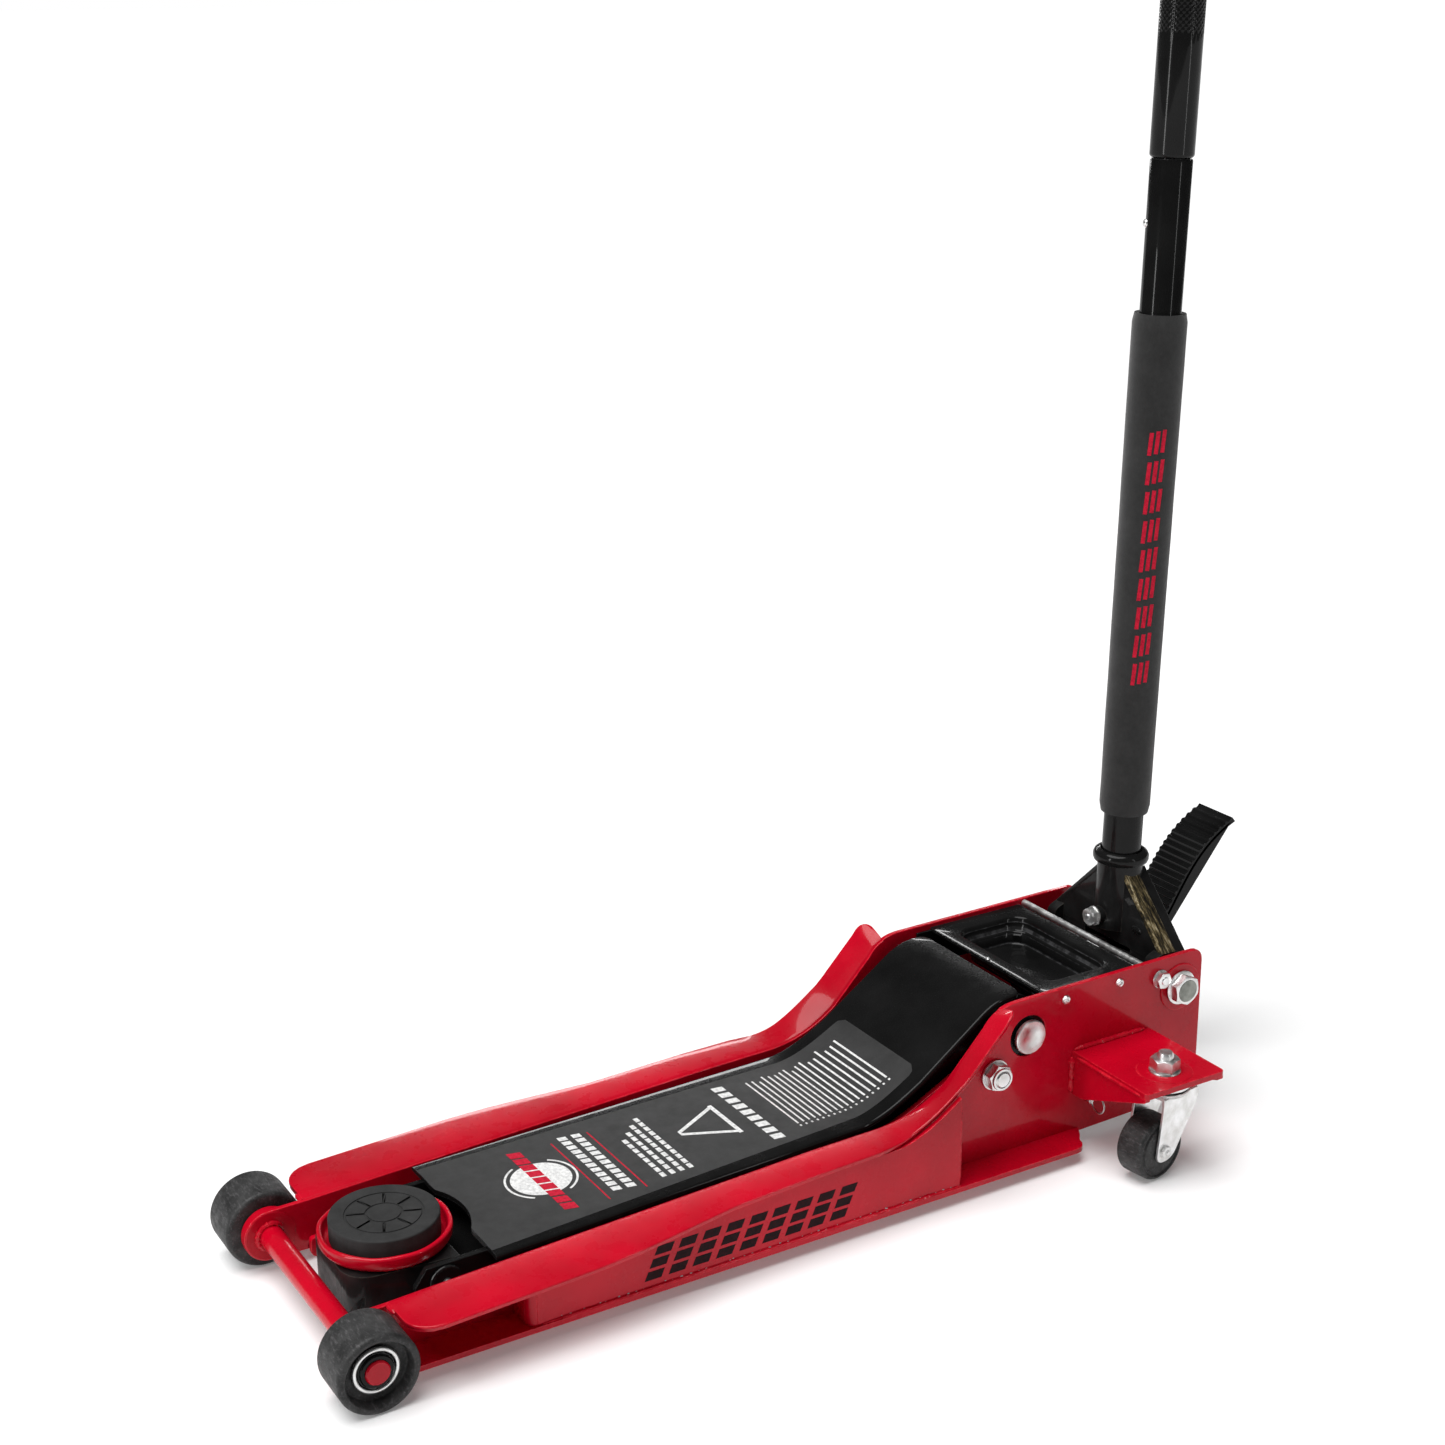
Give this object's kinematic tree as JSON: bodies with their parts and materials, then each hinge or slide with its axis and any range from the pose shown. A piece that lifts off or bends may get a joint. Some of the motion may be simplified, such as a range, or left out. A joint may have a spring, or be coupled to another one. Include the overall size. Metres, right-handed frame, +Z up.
{
  "type": "hydraulic floor jack",
  "caption": "Long low-profile trolley jack: a hinged lifting arm carries a round saddle, pumped by an upright two-piece handle or by a foot pedal.",
  "frame": {"origin": "middle of the footprint's bounding box, on the floor", "axes": "+Z up, -Y towards the saddle end, +Y towards the handle end, +X across the jack"},
  "size_m": [0.402, 1.0612, 1.126],
  "materials": {
    "red_paint": "gloss",
    "black_paint": "gloss",
    "black_cover": "matt grey face on black paint",
    "zinc": "bright zinc plate",
    "bare_steel": "ground",
    "chrome": "polished",
    "black_casting": "painted black, worn bare along the rear edge",
    "saddle_rubber": "moulded",
    "wheel": "moulded nylon",
    "foam": "matt foam"
  },
  "bodies": {
    "chassis": {"side_rail_right": "red_paint", "side_rail_left": "red_paint", "side_cover_right": "red_paint", "side_cover_left": "red_paint", "front_axle": "red_paint", "main_pivot_shaft": "zinc", "link_bolt_right": "zinc", "link_bolt_left": "zinc", "tool_tray": "black_paint", "rear_tie_rod": "zinc", "bottom_tie_plate": "red_paint", "hydraulic_block": "black_casting", "oil_reservoir": "black_casting", "ram_cylinder": "bare_steel", "caster_bracket_right": "red_paint", "caster_bracket_left": "red_paint", "caster_stem_right": "zinc", "caster_stem_left": "zinc", "handle_pivot_bolt_right": "zinc", "handle_pivot_bolt_left": "zinc", "pedal_pivot_pin": "zinc", "return_spring_right": "bare_steel", "return_spring_left": "bare_steel"},
    "front_wheel_right": {"front_wheel_right": "wheel", "wheel_ring_right": "zinc"},
    "front_wheel_left": {"front_wheel_left": "wheel", "wheel_ring_left": "zinc"},
    "caster_swivel_right": {"caster_fork_right": "zinc", "caster_axle_right": "bare_steel"},
    "caster_swivel_left": {"caster_fork_left": "zinc", "caster_axle_left": "bare_steel"},
    "caster_wheel_right": {"caster_wheel_right": "wheel"},
    "caster_wheel_left": {"caster_wheel_left": "wheel"},
    "lift_arm": {"lift_arm_plate_right": "black_paint", "lift_arm_plate_left": "black_paint", "lift_arm_cover": "black_cover", "lift_arm_lever": "black_casting", "lift_arm_brace": "black_paint", "cradle_pivot_pin": "bare_steel"},
    "link_right": {"link_bar_right": "red_paint"},
    "link_left": {"link_bar_left": "red_paint"},
    "cradle": {"saddle_cradle": "black_casting", "cradle_link_pin": "bare_steel"},
    "saddle": {"saddle_tray": "red_paint", "saddle_pad": "saddle_rubber", "saddle_clip": "bare_steel"},
    "ram": {"ram_rod": "chrome", "ram_cross_pin": "bare_steel"},
    "yoke": {"handle_yoke": "black_casting", "yoke_lock_bolt": "zinc"},
    "pump_roller": {"pump_roller": "bare_steel"},
    "handle": {"handle_lower_tube": "black_paint", "handle_upper_tube": "black_paint", "handle_sleeve": "foam", "handle_drive_cup": "bare_steel"},
    "detent_button": {"detent_button": "zinc"},
    "release_spindle": {"release_spindle": "bare_steel"},
    "pump_plunger": {"pump_plunger": "chrome"},
    "foot_pedal": {"foot_pedal": "black_paint"},
    "pedal_plunger": {"pedal_plunger": "chrome"}
  },
  "joints": [
    {"name": "front_wheel_right_spin", "type": "hinge", "parent": "chassis", "child": "front_wheel_right", "pos_m": [0.126, -0.4956, 0.035], "axis": [1, 0, 0], "continuous": true},
    {"name": "caster_right_swivel", "type": "hinge", "parent": "chassis", "child": "caster_swivel_right", "pos_m": [0.172, 0.2704, 0.08], "axis": [0, 0, 1], "continuous": true},
    {"name": "caster_wheel_right_spin", "type": "hinge", "parent": "caster_swivel_right", "child": "caster_wheel_right", "pos_m": [0.17423, 0.25456, 0.03], "axis": [0.9903, 0.1392, 0], "continuous": true},
    {"name": "link_right_swing", "type": "hinge", "parent": "chassis", "child": "link_right", "pos_m": [0.076, 0.133, 0.1004], "axis": [-1, 0, 0], "range_deg": [0, 60.5]},
    {"name": "front_wheel_left_spin", "type": "hinge", "parent": "chassis", "child": "front_wheel_left", "pos_m": [-0.126, -0.4956, 0.035], "axis": [1, 0, 0], "continuous": true},
    {"name": "caster_left_swivel", "type": "hinge", "parent": "chassis", "child": "caster_swivel_left", "pos_m": [-0.172, 0.2704, 0.08], "axis": [0, 0, 1], "continuous": true},
    {"name": "caster_wheel_left_spin", "type": "hinge", "parent": "caster_swivel_left", "child": "caster_wheel_left", "pos_m": [-0.17423, 0.25456, 0.03], "axis": [0.9903, -0.1392, 0], "continuous": true},
    {"name": "link_left_swing", "type": "hinge", "parent": "chassis", "child": "link_left", "pos_m": [-0.076, 0.133, 0.1004], "axis": [-1, 0, 0], "range_deg": [0, 60.5]},
    {"name": "arm_lift", "type": "hinge", "parent": "chassis", "child": "lift_arm", "pos_m": [0, 0.1714, 0.129], "axis": [-1, 0, 0], "range_deg": [0, 60]},
    {"name": "cradle_level", "type": "hinge", "parent": "lift_arm", "child": "cradle", "pos_m": [0, -0.4036, 0.046], "axis": [-1, 0, 0], "range_deg": [-60.5, 0]},
    {"name": "saddle_turn", "type": "hinge", "parent": "cradle", "child": "saddle", "pos_m": [0, -0.4271, 0.057], "axis": [0, 0, 1], "continuous": true},
    {"name": "ram_stroke", "type": "slide", "parent": "chassis", "child": "ram", "axis": [0, -1, 0], "range_m": [0, 0.0602], "deforming": ["return_spring_right", "return_spring_left"]},
    {"name": "handle_pump", "type": "hinge", "parent": "chassis", "child": "yoke", "pos_m": [0, 0.3529, 0.134], "axis": [-1, 0, 0], "range_deg": [0, 75]},
    {"name": "pump_roller_spin", "type": "hinge", "parent": "yoke", "child": "pump_roller", "pos_m": [-0.033, 0.36873, 0.11337], "axis": [1, 0, 0], "continuous": true},
    {"name": "handle_twist", "type": "hinge", "parent": "yoke", "child": "handle", "pos_m": [0, 0.3529, 0.134], "axis": [0, 0.0288, 0.9996], "range_deg": [0, 180]},
    {"name": "detent_press", "type": "slide", "parent": "handle", "child": "detent_button", "axis": [0.5, 0.8657, -0.0249], "range_m": [0, 0.003], "stiffness_N_per_m": 1500, "springref_m": -0.001},
    {"name": "release_turn", "type": "hinge", "parent": "chassis", "child": "release_spindle", "pos_m": [0, 0.3529, 0.134], "axis": [0, 0.6157, 0.788], "range_deg": [0, 180.5]},
    {"name": "pump_stroke", "type": "slide", "parent": "chassis", "child": "pump_plunger", "axis": [0, -1, 0], "range_m": [0, 0.0318]},
    {"name": "pedal_press", "type": "hinge", "parent": "chassis", "child": "foot_pedal", "pos_m": [-0.052, 0.3504, 0.084], "axis": [-1, 0, 0], "range_deg": [0, 25], "stiffness_Nm_per_rad": 8, "springref_deg": -14.32},
    {"name": "pedal_stroke", "type": "slide", "parent": "chassis", "child": "pedal_plunger", "axis": [0, -1, 0], "range_m": [0, 0.012]}
  ],
  "couplings": [
    {"joint": "cradle_level", "follows": "arm_lift", "ratio": -1},
    {"joint": "link_right_swing", "follows": "arm_lift", "ratio": 1},
    {"joint": "link_left_swing", "follows": "arm_lift", "ratio": 1},
    {"joint": "ram_stroke", "follows": "arm_lift", "m_per_rad": 0.0573},
    {"joint": "pump_stroke", "follows": "handle_pump", "m_per_rad": 0.02414},
    {"joint": "release_turn", "follows": "handle_twist", "ratio": 1},
    {"joint": "pedal_stroke", "follows": "pedal_press", "m_per_rad": 0.0262}
  ]
}
